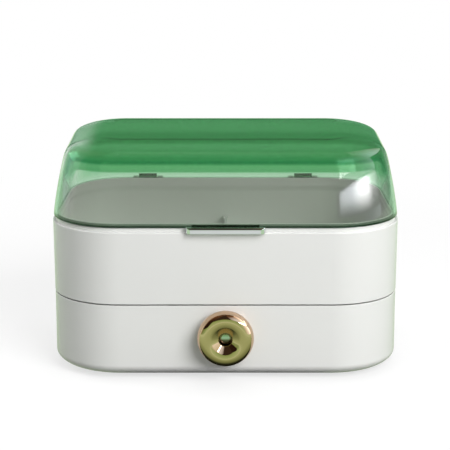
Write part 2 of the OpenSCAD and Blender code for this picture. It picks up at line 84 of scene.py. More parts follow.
studio = {
    "worldStrength": 0.30,
    "floorAlbedo": 0.35, "floorBounce": 0.30, "floorGlow": 0.66,
    "floorWhiteFrom": 0.30, "floorWhiteTo": 0.75, "floorSize": 12,
    "lamps": [
        # name, place, aims at, width, height, watts
        ("key_front_right", (1.00, -1.50, 1.20), (0, 0, 0.09), 1.3, 1.3, 40),
        ("rim_back_left", (-1.45, 0.85, 0.80), (0, 0, 0.09), 1.0, 0.8, 12),
        ("top_soft", (0.10, 0.25, 1.70), (0, 0, 0.10), 1.2, 1.2, 6),
    ],
    "cards": [
        # name, azimuth from and to (0 is the front), elevation from and to, strength,
        # colours upwards, shades from left to right
        ("front_screen", -40, 36, -3, 33, 1.0, ["#C4E6B4", "#98BD79"], ["#FFFFFF", "#FFFFFF"]),
        ("front_left_screen", -86, -40, -3, 13, 1.0, ["#B2DCA7", "#98BD79"], ["#C8B8A0", "#FFFFFF"]),
        ("ceiling_dark", -86, -40, 13, 90, 1.0, ["#2B1E16", "#33241A", "#6A523F"], ["#FFFFFF", "#FFFFFF"]),
        ("ceiling_front", -40, 16, 33, 90, 1.0, ["#43372B", "#3B332B"], ["#FFFFFF", "#FFFFFF"]),
        ("ceiling_rear", 16, 274, 66, 90, 1.0, ["#8A6E58", "#6A523F"], ["#FFFFFF", "#FFFFFF"]),
        ("window_low", 36, 66, -3, 33, 1.6, ["#FFFFFF", "#FFFFFF"], ["#97AD89", "#B9C2AE", "#DCE2E0"]),
        ("window_high", 16, 66, 33, 66, 1.4, ["#E0F0FF", "#D8E6F4", "#8E8A88"],
         ["#A8A098", "#F0F0F0", "#FFFFFF", "#FFFFFF"]),
        ("right_window", 66, 150, -3, 66, 4.0, ["#D0D8DC", "#E8F2FA", "#F0F8FF", "#E8F0F6", "#9A9088"],
         ["#9B9B98", "#B8B7B4", "#E0DEDC", "#FFFFFF", "#FBF9F6", "#CBC6C0", "#95897E"]),
        ("left_window", -150, -86, -3, 66, 1.35, ["#DCE4E4", "#E8F6FF", "#DDE6EC", "#9A8A7C", "#8A6E58"],
         ["#8F8070", "#DCCFC2", "#FFFFFF", "#F6F0E6", "#C8BCA4"]),
        ("back_screen", 150, 210, -3, 66, 1.0, ["#46905C", "#5E6B4A"], ["#FFFFFF", "#FFFFFF"]),
    ],
    "cardRadius": 2.6, "cardCentre": (0, -0.05, 0.08),
    "cardRows": 10, "cardStep": 6,    # rows up a card, and degrees from one column to the next
    "tableSize": 3, "tableRise": 0.0006,
    # metres from the middle; the dark first stops paint the object's shadow round its foot
    "table": [(0.10, "#22261A"), (0.107, "#34402A"), (0.119, "#84996A"), (0.175, "#B4D09D"),
              (0.50, "#CDEBBF")],
    "sheets": [
        # name, place, turn about X and Z, wide, high, colour
        ("pull_sheet", (0, -0.61, 0.0012), 0, 0, 0.34, 0.14, "#F0F3EF"),
        ("side_sheet", (0.32, 0.150, 0.215), 90, 90, 0.40, 0.18, "#4F5A43"),
    ],
    "cornerCard": {
        "place": (0.210, -0.1575, 0.166), "aim": (0.107, -0.077, 0.156), "wide": 0.30, "high": 0.048,
        "strength": 28,
        "across": [(0.06, "#000000"), (0.117, "#7F8286"), (0.19, "#999CA0"), (0.307, "#A5A8AD"),
                   (0.367, "#B3B6BB"), (0.42, "#CDD0D3"), (0.473, "#E6E8EA"), (0.527, "#FBFBFB"),
                   (0.647, "#FBFBFB"), (0.707, "#C2C2C2"), (0.773, "#848484"), (0.857, "#636363"),
                   (0.967, "#000000")],
        "upwards": [(0.0, "#000000"), (0.146, "#696969"), (0.312, "#A5A5A5"), (0.48, "#DBDBDB"),
                    (0.625, "#FFFFFF"), (0.854, "#FFFFFF"), (0.917, "#C4C4C4"), (0.98, "#000000")],
    },
}


def aimAt(place, aim):
    return (Vector(aim) - Vector(place)).to_track_quat("-Z", "Y").to_euler()


def startMaterial(name):
    material = bpy.data.materials.new(name)
    material.use_nodes = True
    return material, material.node_tree


def shownRays(tree):
    # 1 for rays that look at a thing, and 0 for rays that gather light from it
    path = addNode(tree, "ShaderNodeLightPath")
    seen = addNode(tree, "ShaderNodeMath", {"operation": "MAXIMUM"},
                   links={0: path.outputs["Is Camera Ray"], 1: path.outputs["Is Glossy Ray"]})
    return addNode(tree, "ShaderNodeMath", {"operation": "MAXIMUM"},
                   links={0: seen.outputs[0], 1: path.outputs["Is Transmission Ray"]}).outputs[0]


def studioWorld():
    world = bpy.data.worlds.new("studio")
    bpy.context.scene.world = world
    world.use_nodes = True
    tree = world.node_tree
    tree.nodes.clear()
    soft = addNode(tree, "ShaderNodeBackground",
                   values={"Color": (1, 1, 1, 1), "Strength": studio["worldStrength"]})
    plain = addNode(tree, "ShaderNodeBackground", values={"Color": (1, 1, 1, 1), "Strength": 1.0})
    sky = addNode(tree, "ShaderNodeMixShader",
                  links={0: shownRays(tree), 1: soft.outputs[0], 2: plain.outputs[0]})
    addNode(tree, "ShaderNodeOutputWorld", links={"Surface": sky.outputs[0]})


def studioLamps():
    for name, place, aim, width, height, watts in studio["lamps"]:
        lamp = bpy.data.objects.new(name, bpy.data.lights.new(name, "AREA"))
        lamp.data.shape = "RECTANGLE"
        lamp.data.size, lamp.data.size_y = width, height
        lamp.data.energy = watts
        lamp.location = place
        lamp.rotation_euler = aimAt(place, aim)
        lamp.visible_glossy = False
        bpy.context.scene.collection.objects.link(lamp)


def linkMesh(bm, name, material):
    data = bpy.data.meshes.new(name)
    bm.to_mesh(data)
    bm.free()
    data.materials.append(material)
    made = bpy.data.objects.new(name, data)
    bpy.context.scene.collection.objects.link(made)
    return made


def stageObject(bm, name, material):
    sheet = linkMesh(bm, name, material)
    return sheet


def mirrorOnly(card):
    # only metal, gloss and glass catch sight of it
    card.visible_camera = False
    card.visible_diffuse = False
    card.visible_transmission = False
    card.visible_shadow = False


def glowing(name, strength, parts, plain="#FFFFFF"):
    # each part is (reach, start, end, stops), whose stops run over reach(tree, place) from start to end
    material, tree = startMaterial(name)
    tree.nodes.clear()
    place = addNode(tree, "ShaderNodeTexCoord").outputs["Object"]
    tone = None
    for reach, start, end, stops in parts:
        part = addNode(tree, "ShaderNodeMapRange", values={"From Min": start, "From Max": end},
                       links={0: reach(tree, place)})
        ramp = addNode(tree, "ShaderNodeValToRGB", links={0: part.outputs[0]})
        fillStops(ramp, stops)
        if tone is None:
            tone = ramp.outputs[0]
        else:
            tone = addNode(tree, "ShaderNodeMix", {"data_type": "RGBA", "blend_type": "MULTIPLY"}, {0: 1},
                           {6: tone, 7: ramp.outputs[0]}).outputs[2]
    lit = addNode(tree, "ShaderNodeEmission", values={"Color": linearColour(plain), "Strength": strength},
                  links={"Color": tone} if parts else None)
    addNode(tree, "ShaderNodeOutputMaterial", links={"Surface": lit.outputs[0]})
    return material


def along(axis):
    return lambda tree, place: addNode(tree, "ShaderNodeSeparateXYZ", links={0: place}).outputs[axis]


def distance(tree, place):
    return addNode(tree, "ShaderNodeVectorMath", {"operation": "LENGTH"}, links={0: place}).outputs["Value"]


def azimuth(middle):
    # degrees from the card's own middle, which keeps clear of the turn at the back
    def reach(tree, place):
        turned = addNode(tree, "ShaderNodeVectorRotate", {"rotation_type": "Z_AXIS"},
                         {"Angle": -math.radians(middle)}, {"Vector": place})
        split = addNode(tree, "ShaderNodeSeparateXYZ", links={0: turned.outputs[0]})
        ahead = addNode(tree, "ShaderNodeMath", {"operation": "MULTIPLY"}, {1: -1},
                        {0: split.outputs["Y"]})
        angle = addNode(tree, "ShaderNodeMath", {"operation": "ARCTAN2"},
                        links={0: split.outputs["X"], 1: ahead.outputs[0]})
        return addNode(tree, "ShaderNodeMath", {"operation": "DEGREES"},
                       links={0: angle.outputs[0]}).outputs[0]
    return reach


def evenly(colours):
    return [(k / (len(colours) - 1), colour) for k, colour in enumerate(colours)]


def rotateAll(bm, degrees, axis, centre=(0, 0, 0)):
    bmesh.ops.rotate(bm, cent=centre, matrix=Matrix.Rotation(math.radians(degrees), 3, axis),
                     verts=bm.verts[:])


def turn(bm, geom, centre, degrees, steps, axis=(0, 0, 1), merge=False):
    made = bmesh.ops.spin(bm, geom=geom, cent=centre, axis=axis, dvec=(0, 0, 0), space=Matrix.Identity(4),
                          angle=math.radians(degrees), steps=steps, use_merge=merge, use_normal_flip=False,
                          use_duplicate=False)
    return made["geom_last"]


def studioCards():
    # the room round the object, as curved screens on one sphere
    radius, rows = studio["cardRadius"], studio["cardRows"]
    for name, left, right, low, high, strength, colours, shades in studio["cards"]:
        bm = bmesh.new()
        angles = [math.radians(low + (high - low) * k / rows) for k in range(rows + 1)]
        arc = [bm.verts.new((0, -radius * math.cos(angle), radius * math.sin(angle))) for angle in angles]
        edges = [bm.edges.new(pair) for pair in zip(arc, arc[1:])]
        rotateAll(bm, left, "Z")
        turn(bm, arc + edges, (0, 0, 0), right - left, int((right - left) / studio["cardStep"]))
        bmesh.ops.remove_doubles(bm, verts=bm.verts[:], dist=0.001)
        half = (right - left) / 2
        card = stageObject(bm, name, glowing(name, strength, [
            (along("Z"), radius * math.sin(angles[0]), radius * math.sin(angles[-1]), evenly(colours)),
            (azimuth((left + right) / 2), -half, half, evenly(shades))]))
        card.location = studio["cardCentre"]
        mirrorOnly(card)


def studioTable():
    # what the mirrors and the lid show where the floor is, with the object's shadow painted dark round its
    # foot
    far = studio["table"][-1][0]
    stops = [(reach / far, colour) for reach, colour in studio["table"]]
    bm = bmesh.new()
    bmesh.ops.create_grid(bm, x_segments=1, y_segments=1, size=studio["tableSize"])
    bmesh.ops.translate(bm, vec=(0, 0, studio["tableRise"]), verts=bm.verts[:])
    mirrorOnly(stageObject(bm, "table_card", glowing("table_card", 1.0, [(distance, 0, far, stops)])))


def flatCard(name, wide, high, place, turned, material):
    bm = bmesh.new()
    bmesh.ops.create_grid(bm, x_segments=1, y_segments=1, size=0.5)
    bmesh.ops.scale(bm, vec=(wide, high, 1), verts=bm.verts[:])
    card = stageObject(bm, name, material)
    card.location = place
    card.rotation_euler = turned
    mirrorOnly(card)


def smallCards():
    for name, place, tilt, bearing, wide, high, colour in studio["sheets"]:
        flatCard(name, wide, high, place, (math.radians(tilt), 0, math.radians(bearing)),
                 glowing(name, 1.0, [], colour))
    # a soft card near the lid's front right corner, which the lid shows as a pale glow
    card = studio["cornerCard"]
    wide, high = card["wide"], card["high"]
    flatCard("corner_card", wide, high, card["place"], aimAt(card["place"], card["aim"]),
             glowing("corner_card", card["strength"], [
                 (along("X"), -wide / 2, wide / 2, card["across"]),
                 (along("Y"), -high / 2, high / 2, card["upwards"])]))


def studioFloor():
    # painted white; it shines back less than it shows, so that undersides keep their shade
    material, tree = startMaterial("painted studio floor")
    tree.nodes.clear()
    seen = shownRays(tree)
    albedo = addNode(tree, "ShaderNodeMapRange",
                     values={"To Min": studio["floorBounce"], "To Max": studio["floorAlbedo"]},
                     links={0: seen})
    paint = addNode(tree, "ShaderNodeBsdfDiffuse", links={"Color": albedo.outputs[0]})
    glow = addNode(tree, "ShaderNodeEmission",
                   values={"Color": (1, 1, 1, 1), "Strength": studio["floorGlow"]})
    near = addNode(tree, "ShaderNodeAddShader", links={0: paint.outputs[0], 1: glow.outputs[0]})
    white = addNode(tree, "ShaderNodeEmission", values={"Color": (1, 1, 1, 1), "Strength": 1.0})
    place = addNode(tree, "ShaderNodeTexCoord").outputs["Object"]
    far = addNode(tree, "ShaderNodeMapRange", {"interpolation_type": "SMOOTHSTEP"},
                  {"From Min": studio["floorWhiteFrom"], "From Max": studio["floorWhiteTo"]},
                  {0: distance(tree, place)})
    shown = addNode(tree, "ShaderNodeMixShader",
                    links={0: far.outputs[0], 1: near.outputs[0], 2: white.outputs[0]})
    whole = addNode(tree, "ShaderNodeMixShader", links={0: seen, 1: paint.outputs[0], 2: shown.outputs[0]})
    addNode(tree, "ShaderNodeOutputMaterial", links={"Surface": whole.outputs[0]})
    bm = bmesh.new()
    bmesh.ops.create_grid(bm, x_segments=1, y_segments=1, size=studio["floorSize"])
    stageObject(bm, "floor", material)


studioWorld()
studioLamps()
studioCards()
studioTable()
smallCards()
studioFloor()
print("studio ready")


def grainedSurface(name, light, dark, patchMm, rough, grainMm, grainDepthMm, shade=None):
    # slow patches between two tones, and a fine grain that the roughness and the bump share;
    # shade is a colour for the lower part, and the heights between which it gives way
    material, tree = startMaterial(name)
    shader = tree.nodes["Principled BSDF"]
    place = addNode(tree, "ShaderNodeTexCoord").outputs["Object"]
    patches = addNode(tree, "ShaderNodeTexNoise", values={"Scale": 1000 / patchMm, "Detail": 3},
                      links={"Vector": place})
    tone = addNode(tree, "ShaderNodeMix", {"data_type": "RGBA"},
                   {6: linearColour(dark), 7: linearColour(light)}, {0: patches.outputs[0]}).outputs[2]
    if shade:
        colour, bottom, top = shade
        rise = addNode(tree, "ShaderNodeMapRange", {"interpolation_type": "SMOOTHSTEP"},
                       {"From Min": bottom, "From Max": top}, {0: along("Z")(tree, place)})
        tone = addNode(tree, "ShaderNodeMix", {"data_type": "RGBA"}, {6: linearColour(colour)},
                       {0: rise.outputs[0], 7: tone}).outputs[2]
    tree.links.new(tone, shader.inputs["Base Color"])
    grain = addNode(tree, "ShaderNodeTexNoise", values={"Scale": 1000 / grainMm, "Detail": 2},
                    links={"Vector": place})
    sheen = addNode(tree, "ShaderNodeMapRange", values={"To Min": rough[0], "To Max": rough[1]},
                    links={0: grain.outputs[0]})
    tree.links.new(sheen.outputs[0], shader.inputs["Roughness"])
    bump = addNode(tree, "ShaderNodeBump", values={"Strength": 1.0, "Distance": grainDepthMm / 1000},
                   links={"Height": grain.outputs[0]})
    tree.links.new(bump.outputs[0], shader.inputs["Normal"])
    return material, shader


def mouldedPlastic(name, light, dark, ior, **surface):
    material, shader = grainedSurface(name, light, dark, **surface)
    shader.inputs["IOR"].default_value = ior
    return material


# high-gloss white ABS from a polished mould: even, neutral, with a faint orange peel in its gloss
glossWhite = mouldedPlastic("white ABS, gloss moulded", "#EEEEEC", "#EAEAE8", ior=1.53, patchMm=70,
                            rough=(0.16, 0.22), grainMm=5, grainDepthMm=0.004)
# the drawer's inside comes from a plainer mould face, a little less glossy
satinWhite = mouldedPlastic("white ABS, satin moulded", "#ECECEA", "#E6E6E4", ior=1.53, patchMm=50,
                            rough=(0.34, 0.44), grainMm=1.6, grainDepthMm=0.010)
# thin polystyrene plates, slightly milky
dividerWhite = mouldedPlastic("polystyrene divider, moulded", "#EFF1F1", "#E9ECEC", ior=1.59, patchMm=30,
                              rough=(0.28, 0.36), grainMm=2.4, grainDepthMm=0.006)
# acetal slides: slick, plain white
slideWhite = mouldedPlastic("acetal slide strip", "#F1F1EE", "#E8E8E4", ior=1.48, patchMm=20,
                            rough=(0.30, 0.42), grainMm=1.2, grainDepthMm=0.006)
# thermoplastic rubber pads: dull dark grey with a fine grain
padRubber = mouldedPlastic("rubber pad, moulded", "#3B3B3D", "#333335", ior=1.50, patchMm=6,
                           rough=(0.62, 0.78), grainMm=0.9, grainDepthMm=0.02)


def polishedMetal(name, light, dark, **surface):
    material, shader = grainedSurface(name, light, dark, **surface)
    shader.inputs["Metallic"].default_value = 1
    return material


# chrome plate over moulded ABS: mirror bright, with the moulding's slight waves under it
chromePlate = polishedMetal("chrome plate, polished", "#DADCDF", "#D2D4D8", patchMm=12,
                            rough=(0.05, 0.09), grainMm=6, grainDepthMm=0.002)
# bright zinc-plated screws, with fine scratches of handling
screwSteel = polishedMetal("zinc-plated steel screw", "#C4C6C9", "#A9ABAF", patchMm=1.5,
                           rough=(0.22, 0.36), grainMm=0.8, grainDepthMm=0.006)
# drawn steel pins, bright along their length
pinSteel = polishedMetal("drawn steel pin", "#C9CACC", "#B6B8BB", patchMm=4,
                         rough=(0.18, 0.28), grainMm=1.2, grainDepthMm=0.003)
# light gold plate on the ring knob: mirror bright and warm
goldPlate = polishedMetal("champagne gold plate, polished", "#D9BA9D", "#D2B293", patchMm=10,
                          rough=(0.05, 0.08), grainMm=8, grainDepthMm=0.002)
# the cap at its middle is nickel; its lower half is painted darker, a painted shade from the bowl round it
capPlate = polishedMetal("nickel plate, polished", "#B9C4BF", "#A9B5B0", patchMm=6,
                         rough=(0.06, 0.10), grainMm=5, grainDepthMm=0.002,
                         shade=("#6E6259", 0.0370, 0.0392))


# the lid's colours are painted: green that stands in for a backdrop seen through the clear plastic, paler
# on the left and low down
lidPaintedTint = {
    # the front window is clear; past its edge the colour runs through these stops, whose dark and pale
    # bands are painted shade and painted highlight where the curved wall bends the view
    "window": [(0.0, "#FBFDFB"), (0.44, "#F4F9F3"), (0.475, "#94CBA4"), (0.54, "#9FD3AE"),
               (0.60, "#9FD3AE"), (0.645, "#56A67A"), (0.675, "#56A67A"), (0.72, "#6DB386"),
               (0.86, "#72B284"), (1.0, "#6CA87C")],
    "frontEdge": -0.060, "frontWide": 0.020, "topEdge": 0.1719, "topWide": 0.0175, "corner": 0.20,
    "outsideFrom": 0.80, "outsideTo": 0.98,
    # along the roof, from the front to the middle, with painted bands of highlight and shade where the
    # crown bends the view
    "roof": [(0.0, "#5C9A6E"), (0.09, "#72B085"), (0.155, "#7FC093"), (0.267, "#7FC093"),
             (0.333, "#5FA774"), (0.378, "#539968"), (0.69, "#539968"), (0.82, "#68AC7C"),
             (0.933, "#72B485"), (1.0, "#74B687")],
    "roofFrom": -0.080, "roofTo": 0.010, "wallTop": 0.176, "roofLevel": 0.1880,
    "side": "#84B68F", "left": "#DDF1E2", "leftRoof": "#CFE2D4", "leftFrom": -0.103, "leftTo": -0.119,
    "back": "#8CC79B", "backLow": "#CFE3D5", "backFrom": 0.045, "backTo": 0.080,
    "backRise": (0.120, 0.140),
    "frontLow": "#F4F9F3", "sideLow": "#9CCDA9", "lowFrom": -0.066, "lowTo": -0.046,
    "lowRise": (0.156, 0.168),
    # a painted dark line where the wall ends in its rim, standing in for shade there; it also holds back
    # the lamps' light
    "foot": [(0.0, "#35604F"), (0.30, "#35604F"), (0.42, "#B5C2B8"), (0.85, "#B5C2B8"), (1.0, "#FFFFFF")],
    "footFrom": 0.1271, "footTo": 0.1305,
    # how much of the lamps' light passes
    "lampClear": "#DFE1DE", "lampTinted": "#BBBDBA",
    "ior": 1.49, "rough": 0.0, "rippleMm": 35, "rippleDepthMm": 0.03,
}


def clearLid():
    # see-through styrene with a clear front window, painted green past it: a painted view of a green
    # backdrop through the clear plastic; it mirrors a little and tints what lies behind
    material, tree = startMaterial("styrene acrylonitrile lid, clear moulded")
    shader = tree.nodes["Principled BSDF"]
    place = addNode(tree, "ShaderNodeTexCoord").outputs["Object"]
    split = addNode(tree, "ShaderNodeSeparateXYZ", links={0: place})
    x, y, z = (split.outputs[axis] for axis in "XYZ")

    def ramp(source, low, high, soft="SMOOTHSTEP"):
        return addNode(tree, "ShaderNodeMapRange", {"interpolation_type": soft},
                       {"From Min": low, "From Max": high}, {0: source}).outputs[0]

    def join(how, first, second, soft=0.0):
        return addNode(tree, "ShaderNodeMath", {"operation": how}, {2: soft},
                       {0: first, 1: second}).outputs[0]

    def stopped(factor, stops):
        node = addNode(tree, "ShaderNodeValToRGB", links={0: factor})
        fillStops(node, stops)
        return node.outputs[0]

    def tinted(factor, first, second):
        node = addNode(tree, "ShaderNodeMix", {"data_type": "RGBA"}, links={0: factor})
        for socket, colour in ((6, first), (7, second)):
            if isinstance(colour, str):
                node.inputs[socket].default_value = linearColour(colour)
            else:
                tree.links.new(colour, node.inputs[socket])
        return node.outputs[2]

    def multiplied(first, second):
        return addNode(tree, "ShaderNodeMix", {"data_type": "RGBA", "blend_type": "MULTIPLY"}, {0: 1},
                       {6: first, 7: second}).outputs[2]

    def across(source, edge, wide):
        return ramp(source, lidPaintedTint[edge] - lidPaintedTint[wide], lidPaintedTint[edge] + lidPaintedTint[wide], "LINEAR")

    # 0 inside the window and 1 well past it, whichever way
    inwards = across(y, "frontEdge", "frontWide")
    upwards = across(z, "topEdge", "topWide")
    past = join("SMOOTH_MAX", inwards, upwards, lidPaintedTint["corner"])
    behind = ramp(y, lidPaintedTint["backFrom"], lidPaintedTint["backTo"])
    leftwards = ramp(x, lidPaintedTint["leftFrom"], lidPaintedTint["leftTo"])
    walls = tinted(leftwards, lidPaintedTint["side"], lidPaintedTint["left"])
    rear = tinted(ramp(z, *lidPaintedTint["backRise"]), lidPaintedTint["backLow"], lidPaintedTint["back"])
    walls = tinted(behind, walls, rear)
    roof = stopped(ramp(y, lidPaintedTint["roofFrom"], lidPaintedTint["roofTo"], "LINEAR"), lidPaintedTint["roof"])
    roof = tinted(leftwards, roof, lidPaintedTint["leftRoof"])
    outside = tinted(ramp(z, lidPaintedTint["wallTop"], lidPaintedTint["roofLevel"]), walls, roof)
    window = stopped(past, lidPaintedTint["window"])
    tint = tinted(ramp(past, lidPaintedTint["outsideFrom"], lidPaintedTint["outsideTo"]), window, outside)
    low = tinted(ramp(y, lidPaintedTint["lowFrom"], lidPaintedTint["lowTo"]), lidPaintedTint["frontLow"], lidPaintedTint["sideLow"])
    tint = tinted(join("MAXIMUM", ramp(z, *lidPaintedTint["lowRise"]), behind), low, tint)
    foot = stopped(ramp(z, lidPaintedTint["footFrom"], lidPaintedTint["footTo"], "LINEAR"), lidPaintedTint["foot"])
    tint = multiplied(tint, foot)
    tree.links.new(tint, shader.inputs["Base Color"])
    shader.inputs["Transmission Weight"].default_value = 1
    shader.inputs["Roughness"].default_value = lidPaintedTint["rough"]
    shader.inputs["IOR"].default_value = lidPaintedTint["ior"]
    ripple = addNode(tree, "ShaderNodeTexNoise", values={"Scale": 1000 / lidPaintedTint["rippleMm"], "Detail": 1},
                     links={"Vector": place})
    bump = addNode(tree, "ShaderNodeBump",
                   values={"Strength": 1.0, "Distance": lidPaintedTint["rippleDepthMm"] / 1000},
                   links={"Height": ripple.outputs[0]})
    tree.links.new(bump.outputs[0], shader.inputs["Normal"])
    path = addNode(tree, "ShaderNodeLightPath")
    passes = join("MAXIMUM", path.outputs["Is Shadow Ray"], path.outputs["Is Diffuse Ray"])
    veil = multiplied(tinted(past, lidPaintedTint["lampClear"], lidPaintedTint["lampTinted"]), foot)
    standIn = addNode(tree, "ShaderNodeBsdfTransparent", links={"Color": veil})
    both = addNode(tree, "ShaderNodeMixShader",
                   links={0: passes, 1: shader.outputs[0], 2: standIn.outputs[0]})
    tree.links.new(both.outputs[0], tree.nodes["Material Output"].inputs["Surface"])
    return material


lidClear = clearLid()
print("materials ready")


# the pieces are made in millimetres, and finishPiece brings them to metres
def finishPiece(bm, name, bodyName, material, node, sharpAngle=38):
    bmesh.ops.remove_doubles(bm, verts=bm.verts[:], dist=0.0005)
    bmesh.ops.recalc_face_normals(bm, faces=bm.faces[:])
    bmesh.ops.scale(bm, vec=(0.001, 0.001, 0.001), verts=bm.verts[:])
    piece = linkMesh(bm, name, material)
    piece.data.shade_smooth()
    piece.data.set_sharp_from_angle(angle=math.radians(sharpAngle))
    weigh = piece.modifiers.new("even shading", "WEIGHTED_NORMAL")
    weigh.keep_sharp = True
    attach(piece, bodyName)
    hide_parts(node)


def onlyVerts(items):
    return [item for item in items if isinstance(item, bmesh.types.BMVert)]


def addTo(target, source):
    carrier = bpy.data.meshes.new("carrier")
    source.to_mesh(carrier)
    source.free()
    target.from_mesh(carrier)
    bpy.data.meshes.remove(carrier)


def drawSection(bm, corners, place, closed=False, fine=1):
    # corners are [inset, z], with a radius or a width and a height where the corner is rounded;
    # a wide rounding gets more steps
    verts = [bm.verts.new(place(corner[0], corner[1])) for corner in corners]
    for pair in zip(verts, verts[1:]):
        bm.edges.new(pair)
    if closed:
        bm.edges.new((verts[-1], verts[0]))
    for vert, corner in zip(verts, corners):
        if len(corner) > 2:
            wide, high = corner[2], corner[-1]
            steps = fine * (3 if wide < 2 else 6 if wide < 8 else 20)
            bmesh.ops.scale(bm, vec=(1, 1, wide / high), verts=bm.verts[:])
            bmesh.ops.bevel(bm, geom=[vert], offset=wide, offset_type="OFFSET", segments=steps,
                            profile=0.5, affect="VERTICES", material=-1)
            bmesh.ops.scale(bm, vec=(1, 1, high / wide), verts=bm.verts[:])


def runStraight(bm, edge, x, y):
    lines = [item for item in edge if isinstance(item, bmesh.types.BMEdge)]
    made = bmesh.ops.extrude_edge_only(bm, edges=lines)["geom"]
    verts = onlyVerts(made)
    bmesh.ops.translate(bm, vec=(x, y, 0), verts=verts)
    return verts + [item for item in made if isinstance(item, bmesh.types.BMEdge)]


def inOrder(bm):
    # operators leave a mesh in an order that varies from run to run, which later cuts would depend on
    verts = sorted(bm.verts, key=lambda vert: vert.co.to_tuple(3))
    rank = {vert: index for index, vert in enumerate(verts)}
    faces = sorted([rank[vert] for vert in face.verts] for face in bm.faces)
    fresh = bmesh.new()
    places = [fresh.verts.new(vert.co) for vert in verts]
    for face in faces:
        fresh.faces.new([places[index] for index in face])
    bm.free()
    return fresh


def sweepRing(corners, plan):
    # the section stands at the right, and goes once round the plan
    bm = bmesh.new()
    x, low, high, r, steps = plan["cornerX"], plan["frontY"], plan["backY"], plan["cornerR"], plan["steps"]
    drawSection(bm, corners, lambda inset, z: (x + r - inset, high, z))
    edge = turn(bm, bm.verts[:] + bm.edges[:], (x, high, 0), 90, steps)
    edge = runStraight(bm, edge, -2 * x, 0)
    edge = turn(bm, edge, (-x, high, 0), 90, steps)
    edge = runStraight(bm, edge, 0, low - high)
    edge = turn(bm, edge, (-x, low, 0), 90, steps)
    edge = runStraight(bm, edge, 2 * x, 0)
    edge = turn(bm, edge, (x, low, 0), 90, steps)
    runStraight(bm, edge, 0, high - low)
    bmesh.ops.remove_doubles(bm, verts=bm.verts[:], dist=0.001)
    return inOrder(bm)


def closeHoles(bm, test=lambda edge: True):
    rims = [edge for edge in bm.edges if edge.is_boundary and test(edge)]
    bmesh.ops.holes_fill(bm, edges=rims, sides=0)


def roundEdges(bm, width, steps, test):
    edges = [edge for edge in bm.edges if len(edge.link_faces) == 2 and test(edge)]
    bmesh.ops.bevel(bm, geom=edges, offset=width, offset_type="OFFSET", segments=steps, profile=0.5,
                    affect="EDGES", material=-1, clamp_overlap=True)


def isSharp(edge, degrees=40):
    return len(edge.link_faces) == 2 and edge.calc_face_angle(0) > math.radians(degrees)


def roundEnds(bm, width):
    # the cut ends of a swept wall, which face the front or the back
    ends = [face for face in bm.faces if len(face.verts) > 8 and abs(face.normal.y) > 0.9]
    rims = {edge for face in ends for edge in face.edges if isSharp(edge, 60)}
    roundEdges(bm, width, 2, lambda edge: edge in rims)


def pullOut(bm, faces, direction):
    made = bmesh.ops.extrude_face_region(bm, geom=faces)["geom"]
    bmesh.ops.translate(bm, vec=direction, verts=onlyVerts(made))


def block(centre, size, width=0.0):
    bm = bmesh.new()
    bmesh.ops.create_cube(bm, size=1)
    bmesh.ops.scale(bm, vec=size, verts=bm.verts[:])
    if width:
        roundEdges(bm, width, 2, lambda edge: True)
    bmesh.ops.translate(bm, vec=centre, verts=bm.verts[:])
    return bm


def rod(centre, radius, length, axis="Z", width=0.0, segments=48):
    bm = bmesh.new()
    bmesh.ops.create_cone(bm, cap_ends=True, segments=segments, depth=length, radius1=radius,
                          radius2=radius)
    if width:
        roundEdges(bm, width, 3, isSharp)
    if axis != "Z":
        rotateAll(bm, 90, "Y" if axis == "X" else "X")
    bmesh.ops.translate(bm, vec=centre, verts=bm.verts[:])
    return bm


def plate(corners, place, direction, width):
    # a flat outline given a thickness along direction
    bm = bmesh.new()
    bm.faces.new([bm.verts.new(place(*corner)) for corner in corners])
    pullOut(bm, bm.faces[:], direction)
    bmesh.ops.recalc_face_normals(bm, faces=bm.faces[:])
    roundEdges(bm, width, 2, isSharp)
    return bm


def lathe(corners, centre, steps, fine):
    # corners are [radius, distance behind the centre] and turn about the Y axis
    x, y, z = centre
    bm = bmesh.new()
    drawSection(bm, corners, lambda radius, back: (x + radius, y, z + back), fine=fine)
    rotateAll(bm, -90, "X", centre)
    turn(bm, bm.verts[:] + bm.edges[:], centre, 360, steps, (0, 1, 0), True)
    bmesh.ops.remove_doubles(bm, verts=bm.verts[:], dist=0.001)
    return bm


def roundedPlan(wide, front, back, cornerR, steps):
    return {"cornerX": wide / 2 - cornerR, "frontY": front + cornerR, "backY": back - cornerR,
            "cornerR": cornerR, "steps": steps}


bodyPlan = roundedPlan(285.0, -86.75, 98.25, 56.5, 24)
centreY = 5.75    # the body's middle lies behind the origin, because the knob stands out in front


lower = {
    "top": 62.9, "bottom": 1.0, "inset": 0.6, "wall": 3.0, "floorTop": 3.5, "floorIn": 24.4,
    "upstand": 66.0, "upstandIn": 2.1, "roundWide": 22.8, "roundHigh": 11.0,
    "innerRound": (19.8, 10.0), "rimRound": 0.35, "upstandRound": 0.3, "frontGap": 0.8, "endRound": 0.25,
    # places from the body's middle: the screw bosses with their length, their webs and the drawer's guides
    "bossR": 4.2, "bosses": [(132.5, -24, 36, 60), (117, 68, 35, 62)],
    "webs": [((137, -24, 38), (6, 2, 50)), ((117, 75, 38), (2, 12, 50))],
    "bossRound": 0.3, "guide": (129.0, -5.25, 7.25), "guideSize": (2.2, 57.5, 10.5), "guideRound": 0.4,
}


